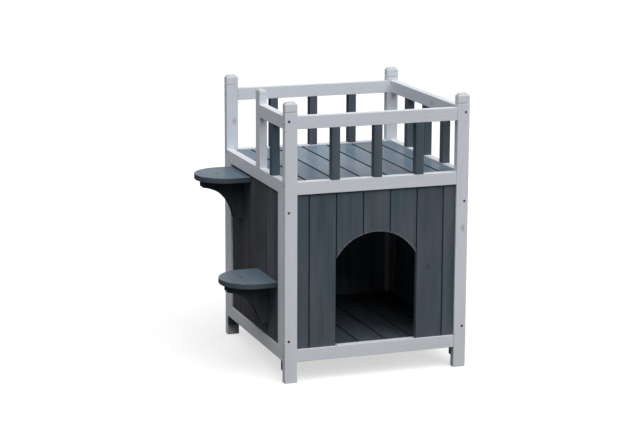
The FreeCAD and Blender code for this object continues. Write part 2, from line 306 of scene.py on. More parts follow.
def log_grain(start, along):
    """Ring lines, fibre, streaks, patches, knot and tone for wood with its grain along an axis."""
    place = start.node("TexCoord", output="Object")
    turn = {"X": "YZX", "Y": "ZXY", "Z": "XYZ"}[along]

    def away_from(attribute):
        centre = start.node("Attribute", {"attribute_name": attribute}, output="Vector")
        gap = start.node("VectorMath", {"operation": "SUBTRACT"}, {0: place, 1: centre})
        split = start.node("SeparateXYZ", None, {0: gap})
        return [split.other(letter) for letter in turn]

    def drawn_out(name, *detail):
        crosswise, lengthwise = RATES[name]
        return start.noise(start.vector(across * crosswise, deep * crosswise, run * lengthwise), *detail)

    across, deep, run = away_from("heart")
    knot_across, knot_deep, knot_run = away_from("knot")
    knot_far = (knot_across ** 2 + knot_deep ** 2 + (knot_run * KNOT_STRETCH) ** 2) ** 0.5
    bulge = 1 - knot_far.ease(0, 4 * KNOT_SIZE)
    sway = drawn_out("sway", 1.0) - 0.5
    radius = (across ** 2 + deep ** 2) ** 0.5 + sway * SWAY + bulge * BULGE
    ring_count = radius * (1 / RING_GAP)
    phase = ring_count.math("FRACT", ring_count)
    ragged = start.noise(start.vector(knot_across * KNOT_RATE, knot_deep * KNOT_RATE, knot_run * KNOT_RATE))
    knot_edge = knot_far + (ragged - 0.5) * (0.7 * KNOT_SIZE)
    return {
        "rings": phase.ease(0.35, 0.9) * (1 - phase.ease(0.9, 1.0)),
        "fibre": drawn_out("fibre"),
        "streak": drawn_out("streak", 3.0, 0.6),
        "mottle": drawn_out("mottle"),
        "hue": drawn_out("hue"),
        "knot": 1 - knot_edge.ease(0.2 * KNOT_SIZE, 1.1 * KNOT_SIZE),
        "tone": start.node("Attribute", {"attribute_name": "tone"}, output="Fac"),
    }


print("ring gap", RING_GAP, "m, knots of", KNOT_SIZE, "m")

# %% [markdown]
# ## Reading the surface
# Paint and stain act by place and direction: an edge wears, a sawn end drinks, a foot turns darker, and
# some places get painted light or shade. These helpers turn both into masks from 0 to 1. Masks could be
# painted by hand as vertex colours, but one that is worked out fits every piece at once.

# %% Masks by place and direction
def place_of(start, coordinate="Object"):
    """The surface's place as three values."""
    split = start.node("SeparateXYZ", None, {0: start.node("TexCoord", output=coordinate)})
    return [split.other(letter) for letter in "XYZ"]


def facing_of(start):
    """The surface's direction as three values."""
    return place_of(start, "Normal")


def arris(start, low=0.8, high=0.97):
    """1 on the narrow slanting faces along the edges, and 0 on flat faces."""
    sizes = [start.math("ABSOLUTE", part) for part in facing_of(start)]
    largest = start.math("MAXIMUM", start.math("MAXIMUM", sizes[0], sizes[1]), sizes[2])
    return 1 - largest.ease(low, high)


def end_on(start, along, low, high):
    """1 where the surface faces along the grain, as a sawn end does."""
    return start.math("ABSOLUTE", facing_of(start)["XYZ".index(along)]).ease(low, high)


WALL_SKIN = Vector((0.3 * MM, 0.3 * MM))
CABIN_LOW = Vector((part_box("left_board_front_1")[1].x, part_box("front_board_1")[1].y)) - WALL_SKIN
CABIN_HIGH = Vector((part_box("right_wall_boards")[0].x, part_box("back_wall_boards")[0].y)) + WALL_SKIN


def inside_cabin(start):
    """1 on the inner faces of the four walls and between them, and 0 outside."""
    inside = 1
    for place, low, high in zip(place_of(start), CABIN_LOW, CABIN_HIGH):
        inside = start.math("GREATER_THAN", place, low) * start.math("LESS_THAN", place, high) * inside
    return inside


def weighed(grain, weights):
    """The sum of some of the grain's values, each times its weight."""
    return sum(grain[name] * weight for name, weight in weights.items())


def raise_grain(start, shader, grain, weights, strength, tall):
    """Lets the grain stand up from the surface."""
    inputs = {"Strength": strength, "Distance": tall, "Height": weighed(grain, weights)}
    start.node("Bump", None, inputs).into(shader, "Normal")


print("the cabin is", [round(v, 3) for v in CABIN_HIGH - CABIN_LOW], "m inside")

# %% [markdown]
# ## White paint over softwood
# The frame has one thin coat of a cool white. It lets the grain and the knots show faintly, and it is
# thinnest on the edges. End grain drinks it, so the posts' tops are duller, which also paints shade on
# the caps, and flat tops have a slight sheen. Near the ground it turns a little darker and warmer.
# Inside the cabin the stiles and the bottom rails are dark grey, as painted shade. The paint's colour
# is kept a little under pure white, so that lit tops don't burn out.

# %% White paint
PAINT = (0.72, 0.755, 0.81, 1)
PAINT_THIN = (0.60, 0.625, 0.66, 1)
# The duller end-grain colour, which is also painted shade on the posts' caps.
PAINT_END = (0.58, 0.595, 0.59, 1)
KNOT_BLEED = (0.34, 0.33, 0.33, 1)
# Painted shade: the dark greys that the frame takes inside the cabin.
INSIDE_SHADE_GREYS = {"X": (0.12, 0.12, 0.12, 1), "Y": (0.12, 0.12, 0.12, 1), "Z": (0.36, 0.36, 0.36, 1)}
# Towards the ground the paint turns darker and warmer: its colour, the height it reaches and its strengths.
GROUND_TINT = (0.42, 0.39, 0.36, 1)
GROUND_TINT_TALL = 330 * MM
GROUND_TINT_STREAK, GROUND_TINT_FILM = 0.2, 0.05
BRUSH_MARKS = (0.45, 0.8)
THINNED_BY = {"rings": 0.16, "brush": 0.22, "tone": 0.14}
THINNED_EDGE, DULL_END, KNOT_SHOWS = 0.18, 0.8, 0.5
PAINT_ROUGH, PAINT_ROUGH_STREAK = 0.42, 0.16
PAINT_RELIEF = ({"rings": 0.5, "fibre": 0.8, "knot": -0.6}, 0.22, 0.25 * MM)
PAINT_SHEEN = 0.16


def white_paint(along, shade_inside=False):
    name = "white_paint_" + along.lower() + ("_shade_inside" if shade_inside else "")
    material, shader, start = new_material(name, {"Specular IOR Level": 0.04, "Coat Roughness": 0.3})
    grain = log_grain(start, along)
    grain["brush"] = grain["streak"].ease(*BRUSH_MARKS)
    body = (weighed(grain, THINNED_BY) + arris(start) * THINNED_EDGE).blend(PAINT, PAINT_THIN)
    # End grain gets the duller colour; on the caps this is also painted shade.
    body = (end_on(start, along, 0.3, 0.6) * DULL_END).blend(body, PAINT_END)
    # Darker and warmer towards the ground.
    low_down = 1 - place_of(start)[2].ease(0, GROUND_TINT_TALL)
    body = (low_down * (grain["streak"] * GROUND_TINT_STREAK + GROUND_TINT_FILM)).blend(body, GROUND_TINT)
    # Painted shade: inside the cabin these parts turn dark grey.
    if shade_inside:
        body = inside_cabin(start).blend(body, INSIDE_SHADE_GREYS[along])
    (grain["knot"] * KNOT_SHOWS).blend(body, KNOT_BLEED).into(shader, "Base Color")
    (grain["streak"] * PAINT_ROUGH_STREAK + PAINT_ROUGH).into(shader, "Roughness")
    raise_grain(start, shader, grain, *PAINT_RELIEF)
    (facing_of(start)[2].ease(0.9, 0.99) * PAINT_SHEEN).into(shader, "Coat Weight")
    return material


MATERIALS = {f"paint_{along}": white_paint(along) for along in "XYZ"}
MATERIALS |= {f"paint_inside_{along}": white_paint(along, True) for along in "XYZ"}
print("paints:", ", ".join(MATERIALS))

# %% [markdown]
# ## Chips along a sawn edge
# The doorway was sawn after the boards were stained, and the saw tore small pale chips out of the face
# along the arch. They are too thin to model, so they are a mask: a narrow band round the arch's centre,
# broken up by noise.

# %% Torn edge
CHIP_REACH = 6 * MM
CHIP_RATE = 190.0
CHIP_PALE = 0.8


def torn_edge(start, axis_x, axis_z, radius):
    """Small pale chips round a hole, where the saw tore the stained face."""
    x, _, z = place_of(start)
    off_edge = ((x - axis_x) ** 2 + (z - axis_z) ** 2) ** 0.5 - radius
    place = start.node("TexCoord", output="Object")
    fine = start.node("VectorMath", {"operation": "SCALE"}, {0: place, "Scale": CHIP_RATE})
    chips = start.noise(fine, 3.0)
    near = 1 - (off_edge + (chips - 0.5) * CHIP_REACH).ease(0, CHIP_REACH)
    return near * chips.ease(0.44, 0.6) * CHIP_PALE


print("chips reach", CHIP_REACH, "m from the edge")

# %% [markdown]
# ## Grey stain
# The boards, balusters and brackets are soaked with a blue-grey stain and left matt. Soft early wood
# drinks more of it than the hard ring lines, and each board takes it differently. The V between two
# boards and a band under the rails are darkened as painted shade, while a sanded edge shows paler; on
# the steps' top edge that pale line is also a painted highlight. Inside the cabin the walls are made
# paler, as painted light. The left wall has weathered to a warmer grey. The deck and the steps have a
# paler stain, which also paints in part of the sheen of their tops, and a satin coat on their tops,
# which catches the light at a low angle. Their sides are darker, as painted shade.

# %% Grey stain
WALL_STAIN = ((0.042, 0.050, 0.060, 1), (0.122, 0.157, 0.189, 1))
LEFT_STAIN = ((0.044, 0.045, 0.046, 1), (0.142, 0.160, 0.179, 1))
# The paler step and deck colours also paint in part of the sheen on their tops.
STEP_STAIN = ((0.082, 0.120, 0.153, 1), (0.182, 0.240, 0.290, 1))
DECK_STAIN = ((0.112, 0.152, 0.197, 1), (0.242, 0.301, 0.366, 1))
STAIN_HUES = ((0.93, 1.0, 1.02, 1), (1.08, 0.99, 0.97, 1))
# Painted shade: the darker colour for the sides of the deck boards and the steps.
STAIN_SIDE_SHADE = (0.082, 0.101, 0.123, 1)
# Painted shade: the dark colour for the V between two boards and for the band under the rails.
STAIN_SHADE_DARK = (0.012, 0.015, 0.019, 1)
STAIN_EDGE = (0.32, 0.33, 0.34, 1)
STAIN_KNOT = (0.030, 0.034, 0.038, 1)
PALE_BY = {"streak": 0.66, "rings": 0.06, "fibre": 0.06, "tone": 0.5, "mottle": 0.44}
PALE_FROM = 0.31
STAIN_ROUGH_BY = {"fibre": 0.16, "rings": -0.06}
STAIN_ROUGH = 0.6
STAIN_RELIEF = ({"rings": 0.4, "fibre": 0.9}, 0.3, 0.3 * MM)
STAIN_KNOT_SHOWS = 0.3
# Painted shadow: how far the dark band under the deck rail reaches down the boards, and how dark it is.
RAIL_SHADOW_REACH = 8 * MM
RAIL_SHADOW_DARK = 0.5
RAIL_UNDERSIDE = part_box("front_deck_rail")[0].z
# Painted light: how much paler the wall boards are inside the cabin.
INSIDE_LIGHT_GAIN = 2.3
# The last value sets the pale edges: wear, and on the steps' top edge also a painted highlight.
JOINT_DARK, UNDERFOOT_DARK, SATIN, WEAR_AND_HIGHLIGHT = 0.6, 0.95, 0.3, 0.35


def grey_stain(name, along, colours, joints=0.0, satin=0.0, wear_and_highlight=WEAR_AND_HIGHLIGHT, torn_round=None):
    """Stain between two colours, with painted light, shade and highlight, a satin top, pale edges and a
    torn sawn edge.
    """
    material, shader, start = new_material(name, {"Specular IOR Level": 0.0, "Coat Roughness": 0.28})
    grain = log_grain(start, along)
    body = start.node("Clamp", None, {0: weighed(grain, PALE_BY) - PALE_FROM}).blend(*colours)
    hue = grain["hue"].ease(0.36, 0.64).blend(*STAIN_HUES)
    body = start.node("VectorMath", {"operation": "MULTIPLY"}, {0: body, 1: hue})
    upright = along == "Z"
    if joints and upright:
        # Painted light: inside the cabin the wall boards are made paler.
        gain = inside_cabin(start) * (INSIDE_LIGHT_GAIN - 1) + 1
        body = start.node("VectorMath", {"operation": "SCALE"}, {0: body, "Scale": gain})
    edge = arris(start)
    if satin:
        upwards = facing_of(start)[2].ease(0.75, 0.95)
        # On the steps only the upper edges stay pale: a painted highlight along the top edge as well as
        # wear.
        edge = edge * facing_of(start)[2].ease(0.2, 0.5)
        (upwards * satin).into(shader, "Coat Weight")
        # Painted shade: faces that do not face up get the darker side colour.
        body = upwards.blend(STAIN_SIDE_SHADE, body)
    if joints:
        sawn_end = end_on(start, along, 0.05, 0.2)
        # Painted shade in the V between two boards.
        joint = arris(start, 0.95, 0.999) * (1 - sawn_end)
        body = (joint * joints).blend(body, STAIN_SHADE_DARK)
        if upright:
            # Painted shadow: a dark band on the boards just under the deck rail.
            corner = place_of(start)[2].ease(RAIL_UNDERSIDE - RAIL_SHADOW_REACH, RAIL_UNDERSIDE)
            body = (corner * RAIL_SHADOW_DARK).blend(body, STAIN_SHADE_DARK)
        edge = edge * sawn_end
    body = (edge * grain["streak"].ease(0.4, 0.58) * wear_and_highlight).blend(body, STAIN_EDGE)
    if torn_round:
        body = torn_edge(start, *torn_round).blend(body, STAIN_EDGE)
    (grain["knot"] * STAIN_KNOT_SHOWS).blend(body, STAIN_KNOT).into(shader, "Base Color")
    (weighed(grain, STAIN_ROUGH_BY) + STAIN_ROUGH).into(shader, "Roughness")
    raise_grain(start, shader, grain, *STAIN_RELIEF)
    return material


for along in "XZ":
    MATERIALS[f"wall_{along}"] = grey_stain(f"grey_stain_{along.lower()}", along, WALL_STAIN, wear_and_highlight=0)
for along in "YZ":
    name = f"grey_board_stain_{along.lower()}"
    MATERIALS[f"board_{along}"] = grey_stain(name, along, WALL_STAIN, JOINT_DARK)
MATERIALS["board_left_Z"] = grey_stain("weathered_board_stain_z", "Z", LEFT_STAIN, JOINT_DARK)
MATERIALS["deck_Y"] = grey_stain("satin_deck_stain_y", "Y", DECK_STAIN, UNDERFOOT_DARK, SATIN)
MATERIALS["step_Y"] = grey_stain("satin_step_stain_y", "Y", STEP_STAIN, 0, SATIN)
print("stains:", ", ".join(name for name in MATERIALS if "paint" not in name))

# %% [markdown]
# ## Bare pine, zinc and steel
# The battens are out of sight and never saw a brush, so they are plain pine. The screws are yellow
# zinc, dulled in their holes, and the nails are dark steel.

# %% Bare pine, zinc and steel
PINE_EARLY = (0.60, 0.44, 0.26, 1)
PINE_LATE = (0.38, 0.22, 0.10, 1)
PINE_KNOT = (0.16, 0.08, 0.04, 1)
ZINC = (0.085, 0.080, 0.045, 1)
ZINC_DULL = (0.030, 0.030, 0.022, 1)
STEEL = (0.13, 0.13, 0.14, 1)
STEEL_RUST = (0.11, 0.075, 0.05, 1)
PINE_BY = {"rings": 0.7, "fibre": 0.2, "tone": 0.1}
PINE_RELIEF = ({"fibre": 1, "rings": 1}, 0.3, 0.3 * MM)
PINE_KNOT_SHOWS = 0.8
TARNISH_RATE = 700.0


def bare_pine(along):
    material, shader, start = new_material("bare_pine_" + along.lower(), {})
    grain = log_grain(start, along)
    body = weighed(grain, PINE_BY).blend(PINE_EARLY, PINE_LATE)
    (grain["knot"] * PINE_KNOT_SHOWS).blend(body, PINE_KNOT).into(shader, "Base Color")
    (0.6 + grain["fibre"] * 0.2).into(shader, "Roughness")
    raise_grain(start, shader, grain, *PINE_RELIEF)
    return material


def dull_metal(name, bright, dull):
    material, shader, start = new_material(name, {"Metallic": 1.0})
    place = start.node("TexCoord", output="Object")
    tarnish = start.node("TexNoise", None, {"Vector": place, "Scale": TARNISH_RATE, "Detail": 3.0})
    tarnish.ease(0.35, 0.7).blend(bright, dull).into(shader, "Base Color")
    (0.34 + tarnish * 0.3).into(shader, "Roughness")
    return material


MATERIALS["pine_X"] = bare_pine("X")
MATERIALS["zinc"] = dull_metal("yellow_zinc", ZINC, ZINC_DULL)
MATERIALS["nail"] = dull_metal("nail_steel", STEEL, STEEL_RUST)
print("finishes in all:", len(MATERIALS))

# %% [markdown]
# ## Handing a piece over
# A finished piece is shaded smooth across its soft edges, with normals weighted by area so that broad
# faces stay flat. It gets its place in a log and its finish, and the CAD nodes that it replaces are
# hidden. The heart's place is drawn by lot, but the few knots lie where the real house shows them.

# %% Finish a piece
LUCK = random.Random(20)
HEART_NEAR = 40 * MM
HEART_FAR = 110 * MM
SMOOTH_ANGLE = math.radians(40)
KNOTS = {
    "right_top_rail_wood": (0.2925, -0.057, 0.6740),
    "post_back_left_wood": (-0.166, 0.238, 0.601),
    "post_front_right_wood": (0.300, -0.259, 0.375),
    "front_board_6_wood": (0.206, -0.2525, 0.277),
}
FAR_AWAY = (9, 9, 9)


def give_grain(piece, along, tone=None):
    """Stores on a piece where its log's heart and its knot lie, and its own tone."""
    lo, hi = box_of(piece)
    turn = LUCK.uniform(0, 2 * math.pi)
    far = LUCK.uniform(HEART_NEAR, HEART_FAR)
    aside = [axis for letter, axis in AXES.items() if letter != along]
    heart = (lo + hi) / 2 + aside[0] * (far * math.cos(turn)) + aside[1] * (far * math.sin(turn))
    chance = LUCK.random()
    count = len(piece.data.vertices)
    for name, value in (("heart", heart), ("knot", KNOTS.get(piece.name, FAR_AWAY))):
        layer = piece.data.attributes.new(name, "FLOAT_VECTOR", "POINT")
        layer.data.foreach_set("vector", list(value) * count)
    layer = piece.data.attributes.new("tone", "FLOAT", "POINT")
    layer.data.foreach_set("value", [chance if tone is None else tone] * count)


def hand_over(piece, finish, nodes):
    """Smooths, paints and puts a piece on the frame in place of its CAD nodes."""
    only(piece)
    bpy.ops.object.shade_smooth_by_angle(angle=SMOOTH_ANGLE)
    weighted = piece.modifiers.new("flat", "WEIGHTED_NORMAL")
    weighted.keep_sharp = True
    bpy.ops.object.modifier_apply(modifier="flat")
    piece.data.materials.clear()
    piece.data.materials.append(MATERIALS[finish])
    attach(piece, "root")
    if nodes:
        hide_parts(*nodes)


print("logs' hearts lie", HEART_NEAR, "to", HEART_FAR, "m from their boards")

# %% [markdown]
# ## Where the screws sit
# The CAD frame holds each kind of screw as a group of loose bodies. Reading them back gives every
# head's place and the way it was driven, so that holes and heads in this scene can't drift apart.

# %% Read the screws' seats
HEAD_TALL = 2.4 * MM
HEAD_RADIUS = 3.5 * MM
HEAD_SUNK = 1.2 * MM
SHANK_RADIUS = 1.9 * MM


def loose_parts(node):
    """The boxes of the separate bodies in a CAD node, with their points."""
    mesh = bmesh.new()
    mesh.from_mesh(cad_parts[node].data)
    bmesh.ops.remove_doubles(mesh, verts=mesh.verts, dist=NEAR / 10)
    waiting = set(mesh.verts)
    parts = []
    for seed in mesh.verts:
        if seed not in waiting:
            continue
        part = []
        front = [seed]
        waiting.discard(seed)
        while front:
            vertex = front.pop()
            part.append(vertex.co.copy())
            near = {edge.other_vert(vertex) for edge in vertex.link_edges} & waiting
            waiting -= near
            front.extend(near)
        parts.append((*corners(part), part))
    mesh.free()
    return sorted(parts, key=lambda part: tuple(round(v / NEAR) for v in part[0]))


def screw_seats(node):
    """Each screw as the middle of its head's top, the direction it was driven in, and its length."""
    seats = []
    for lo, hi, points in loose_parts(node):
        size = hi - lo
        axis = max(range(3), key=lambda i: size[i])
        side = (axis + 1) % 3
        at_low = [p[side] for p in points if p[axis] < lo[axis] + HEAD_TALL / 2]
        head_is_low = max(at_low) - min(at_low) > 0.9 * size[side]
        top = (lo + hi) / 2
        top[axis] = lo[axis] if head_is_low else hi[axis]
        way = AXES["XYZ"[axis]] * (1 if head_is_low else -1)
        seats.append((top, way, size[axis]))
    return seats


SEATS = {node: screw_seats(node) for node in ("panel_screws", "rail_screws", "step_screws", "wall_screws")}
print("screws:", {node: len(seats) for node, seats in SEATS.items()})

# %% [markdown]
# ## Grooves and screw holes
# The wall boards stand in grooves ploughed along the frame, and every screw has a hole for its shank
# and a wider one for its head. Each piece is tested against the boards and screws that reach it, so
# that one pair of helpers serves posts, rails, stiles, steps, brackets and boards alike.

# %% Plough and drill
GROOVE_PLAY = Vector((0.25, 0.25, 0.5)) * MM
BORE_PLAY = 0.15 * MM
BORE_SIDES = 20
FRONT_BOARDS = [f"front_board_{i}" for i in range(1, 8)]
LEFT_BOARDS = [f"left_board_front_{i}" for i in (1, 2, 3)] + [f"left_board_back_{i}" for i in (3, 2, 1)]
WALLS = FRONT_BOARDS + LEFT_BOARDS + ["right_wall_boards", "back_wall_boards"]


def touch(box_a, box_b):
    return all(box_a[0][i] < box_b[1][i] and box_b[0][i] < box_a[1][i] for i in range(3))


def plough(piece):
    """Cuts the grooves that hold the ends and edges of the wall boards."""
    for node in WALLS:
        lo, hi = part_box(node)
        groove = (lo - GROOVE_PLAY, hi + GROOVE_PLAY)
        if touch(box_of(piece), groove):
            cut(piece, cube("groove", *groove))


def drill(piece):
    """Makes the holes for every screw that reaches a piece."""
    for top, way, length in (seat for seats in SEATS.values() for seat in seats):
        under_head = top + way * HEAD_TALL
        tip = top + way * (length + 2 * BORE_PLAY)
        if touch(box_of(piece), corners([under_head, tip])):
            cut(piece, rod("pilot_hole", top, tip, SHANK_RADIUS + BORE_PLAY, BORE_SIDES // 2))
        if touch(box_of(piece), corners([top, under_head])):
            mouth = top - way * (2 * HEAD_SUNK)
            cut(piece, rod("counterbore", mouth, under_head, HEAD_RADIUS + BORE_PLAY, BORE_SIDES))


print("grooves for", len(WALLS), "boarded nodes, holes for", sum(map(len, SEATS.values())), "screws")

# %% [markdown]
# ## Planed bars
# Rails, stiles, balusters, battens and blocks are all lengths of planed timber with their long edges
# eased by sandpaper. Each starts as a cube of the CAD piece's size, and one bevel rounds the four long
# edges. A bevel on all twelve edges would also round the ends, which are sawn square and butt tight.
# The deck rail on the left has a mortise too, for the gate post's tenon.

# %% Rails and stiles
EDGE_ROUND = 1.0 * MM


def bar(name, lo, hi, along, ease=EDGE_ROUND):
    """A length of timber with rounded long edges."""
    def make(lo, hi):
        made = cube("bar_pattern", lo, hi)
        soften(made, lambda edge: runs_along(edge, AXES[along]), ease, 3)
        return made
    return from_pattern(name, ("bar", along, ease), lo, hi, make)


TENON_THICK = 9 * MM
TENON_WIDE = 20 * MM
TENON_LONG = 14 * MM


def tenon(play=0.0):
    """The gate post's tenon, or with some play the mortise for it in the deck rail."""
    lo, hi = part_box("gate_post")
    centre = (lo + hi) / 2
    half = Vector((TENON_THICK / 2 + play, TENON_WIDE / 2 + play, 0))
    low = Vector((centre.x, centre.y, lo.z - 2 * play)) - half
    return cube("tenon", low, Vector((centre.x, centre.y, lo.z + TENON_LONG + NEAR)) + half)


LEVELS = ("bottom", "deck", "top")
rails = {f"{end}_{level}_rail": "X" for end in ("front", "back") for level in LEVELS}
rails |= {f"{side}_{level}_rail": "Y" for side in ("left", "right") for level in LEVELS}
stiles = {f"{side}_stile_{end}": "Z" for side in ("left", "right") for end in ("front", "back")}
# The parts that take painted shade inside the cabin.
SHADED_INSIDE_PARTS = (*stiles, "left_bottom_rail", "right_bottom_rail", "back_bottom_rail")
for node, along in (rails | stiles).items():
    piece = bar(node + "_wood", *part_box(node), along)
    plough(piece)
    drill(piece)
    if node == "left_deck_rail":
        cut(piece, tenon(GROOVE_PLAY.x))
    give_grain(piece, along)
    hand_over(piece, ("paint_inside_" if node in SHADED_INSIDE_PARTS else "paint_") + along, [node])
print("painted bars:", len(rails), "rails and", len(stiles), "stiles")

# %% [markdown]
# ## Stained bars and hidden ones
# Balusters, battens and rest blocks are shorter bars of the same kind. Battens and blocks are groups in
# the CAD frame, so each loose body gives one bar. A group's bars are joined only after each has its own
# grain, because a joined mesh would have one log for all.

# %% Balusters, battens and rest blocks
BALUSTER_ROUND = 0.7 * MM
SAWN_EDGE = 0.6 * MM
# Painted light and shade: the back balusters get a darker tone and the left ones a lighter one.
BALUSTER_TONES = {"front": 0.75, "back": 0.5, "right": 0.65, "left": 0.95}
balusters = sorted(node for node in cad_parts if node.startswith("baluster"))
for node in balusters:
    piece = bar(node + "_wood", *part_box(node), "Z", BALUSTER_ROUND)
    give_grain(piece, "Z", BALUSTER_TONES[node.split("_")[1]])
    hand_over(piece, "wall_Z", [node])
for node, finish in (("deck_battens", "pine_X"), ("floor_battens", "pine_X"), ("rest_blocks", "wall_X")):
    lengths = []
    for lo, hi, _ in loose_parts(node):
        lengths.append(bar("length", lo, hi, "X", SAWN_EDGE))
        give_grain(lengths[-1], "X")
    hand_over(join(node + "_wood", lengths), finish, [node])
print("stained balusters:", len(balusters))

# %% [markdown]
# ## Posts with shaped tops
# The corner posts end in a chamfered cap with a V-groove cut round below it, and the short gate post has
# a rounded top. A shape like that is a list of levels: how deep below the top, and how far in from the
# faces. So the post is bisected at each level, and each loop of edges is then scaled in. Scaling after
# all cuts are made keeps every cut flat. The four posts are copies of one pattern until they are
# ploughed and drilled.

# %% Corner posts and gate post
CAP_TALL = 7.2 * MM
CAP_IN = 6.6 * MM
RING_DROP = 19.3 * MM
RING_HALF = 1.6 * MM
RING_IN = 1.5 * MM
SOFT = 0.7 * MM
GATE_ROUND = 5 * MM
ROUND_STEPS = 4


def shape_top(post, levels):
    """Scales a post in by the second number of each pair, at the depth that the first gives."""
    lo, hi = box_of(post)
    size, centre = hi - lo, (lo + hi) / 2
    edit(post)
    for depth, _ in levels:
        if depth > 0:
            slice_at(Vector((0, 0, hi.z - depth)), AXES["Z"])
    for depth, inset in levels:
        pick(post, "VERT", lambda vertex: abs(vertex.co.z - hi.z + depth) < NEAR)
        factor = (1 - 2 * inset / size.x, 1 - 2 * inset / size.y, 1)
        bpy.ops.transform.resize(value=factor, center_override=centre)
    done()


ring = CAP_TALL + RING_DROP
slope = CAP_IN / CAP_TALL
CORNER_TOP = [(ring + RING_HALF, 0), (ring, RING_IN), (ring - RING_HALF, 0), (CAP_TALL + SOFT, 0),
              (CAP_TALL, 0.3 * SOFT), (CAP_TALL - SOFT, 1.1 * SOFT * slope),
              (SOFT, CAP_IN - 1.1 * SOFT), (0, CAP_IN + 0.4 * SOFT)]
turns = [math.pi / 2 * i / ROUND_STEPS for i in range(ROUND_STEPS + 1)]
GATE_TOP = [(GATE_ROUND * (1 - math.sin(turn)), GATE_ROUND * (1 - math.cos(turn))) for turn in turns]


def corner_post(lo, hi):
    made = bar("post_pattern", lo, hi, "Z")
    shape_top(made, CORNER_TOP)
    return made


for node in sorted(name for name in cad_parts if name.startswith("post_")):
    piece = from_pattern(node + "_wood", "corner post", *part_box(node), corner_post)
    plough(piece)
    drill(piece)
    give_grain(piece, "Z")
    hand_over(piece, "paint_Z", [node])

lo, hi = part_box("gate_post")
piece = bar("gate_post_wood", Vector((lo.x, lo.y, lo.z + TENON_LONG)), hi, "Z")
shape_top(piece, GATE_TOP)
cut(piece, tenon(), "UNION")
drill(piece)
give_grain(piece, "Z")
hand_over(piece, "paint_Z", ["gate_post"])
print("posts: four with", len(CORNER_TOP), "levels and one with", len(GATE_TOP))

# %% [markdown]
# ## Tongued and grooved boards
# Walls, deck and floor are boards that slot together: a tongue on one edge, a groove in the next, and
# bevelled face edges that meet as a V. A board starts as a cube. Its face edges are bevelled, two bisects
# mark a strip on the edge, and that strip is extruded into the tongue. The groove is a Boolean, since an
# extrude inwards would leave its open ends walled up.

# %% One board
TONGUE_LONG = 5 * MM
TONGUE_THICK = 4 * MM
TONGUE_DEEP = 3.5 * MM
TONGUE_PLAY = 0.2 * MM
GROOVE_LONG = 4.3 * MM
V_JOINT = 1.8 * MM
V_UNDERFOOT = 3.0 * MM


def board_pattern(lo, hi, across, facing, along, edges, v_joint):
    """A board whose box holds its tongues; edges are its low and high edges' kinds."""
    a = "XYZ".index(across)
    body = [lo.copy(), hi.copy()]
    for end, sign in ((0, 1), (1, -1)):
        if edges[end] == "tongue":
            body[end][a] += sign * TONGUE_LONG
    face_level = max(lo.dot(facing), hi.dot(facing))
    made = cube("board_pattern", *body)
    edit(made)

    def at_joint(edge):
        place = middle(edge)
        sides = [edges[end] and abs(place[a] - body[end][a]) < NEAR for end in (0, 1)]
        return runs_along(edge, AXES[along]) and place.dot(facing) > face_level - NEAR and any(sides)

    pick(made, "EDGE", at_joint)
    bpy.ops.mesh.bevel(offset=v_joint, segments=3, profile=0.4, affect="EDGES")
    strip = (face_level - TONGUE_DEEP - TONGUE_THICK, face_level - TONGUE_DEEP)
    for level in strip:
        slice_at(facing * level, facing)
    for end, sign in ((0, -1), (1, 1)):
        if edges[end] == "tongue":
            out = AXES[across] * sign
            pick(made, "FACE", lambda face: face.normal.dot(out) > ALIGNED
                 and strip[0] < face.calc_center_median().dot(facing) < strip[1])
            bpy.ops.mesh.extrude_region_move(TRANSFORM_OT_translate={"value": out * TONGUE_LONG})
    done()
    for end, sign in ((0, 1), (1, -1)):
        if edges[end] == "groove":
            plough_edge(made, body[end][a], sign, a, facing, face_level, "XYZ".index(along))
    return made


def plough_edge(board, edge_place, sign, a, facing, face_level, w):
    """Cuts the groove into one edge of a board."""
    lo, hi = box_of(board)
    lo[w] -= V_JOINT
    hi[w] += V_JOINT
    lo[a], hi[a] = sorted((edge_place - sign * V_JOINT, edge_place + sign * GROOVE_LONG))
    v = max(range(3), key=lambda i: abs(facing[i]))
    inner = face_level - TONGUE_DEEP - TONGUE_THICK - TONGUE_PLAY
    outer = face_level - TONGUE_DEEP + TONGUE_PLAY
    lo[v], hi[v] = sorted((inner * facing[v], outer * facing[v]))
    cut(board, cube("edge_groove", lo, hi))


print("a tongue of", TONGUE_LONG, "m goes into a groove of", GROOVE_LONG, "m")

# %% [markdown]
# ## Walls, deck and floor
# The tongues point to the middle of each wall, so the boards at both ends are alike. Front and left
# boards stay separate pieces, as in the CAD frame, and the other runs are joined.

# %% Runs of boards
# The left boards' tones fall from front to back, which warms the back boards and also paints the shade
# behind the steps.
LEFT_TONES = (0.7, 0.8, 0.5, 0.35, 0.3, 0.25)
# The floor boards' darker tone is painted shade inside the cabin.
RUN_TONES = {"floor_boards": -0.1}
GROUPED_RUNS = {
    "right_wall_boards": ("Y", AXES["X"], "Z", "board_Z", V_JOINT),
    "back_wall_boards": ("X", AXES["Y"], "Z", "board_Z", V_JOINT),
    "deck_boards": ("X", AXES["Z"], "Y", "deck_Y", V_UNDERFOOT),
    "floor_boards": ("X", AXES["Z"], "Y", "board_Y", V_UNDERFOOT),
}


def run_of_boards(boxes, across, facing, along, v_joint=V_JOINT):
    """Models boards side by side, with their tongues towards the middle of the run."""
    a = "XYZ".index(across)
    centre = (boxes[0][0][a] + boxes[-1][1][a]) / 2
    boards = []
    for i, (lo, hi) in enumerate(boxes):
        low = None if i == 0 else "groove" if lo[a] < centre else "tongue"
        high = None if i == len(boxes) - 1 else "tongue" if hi[a] < centre else "groove"

        def make(lo, hi):
            return board_pattern(lo, hi, across, facing, along, (low, high), v_joint)
        kind = ("board", across, tuple(facing), low, high)
        boards.append(from_pattern("board", kind, lo, hi, make))
    return boards


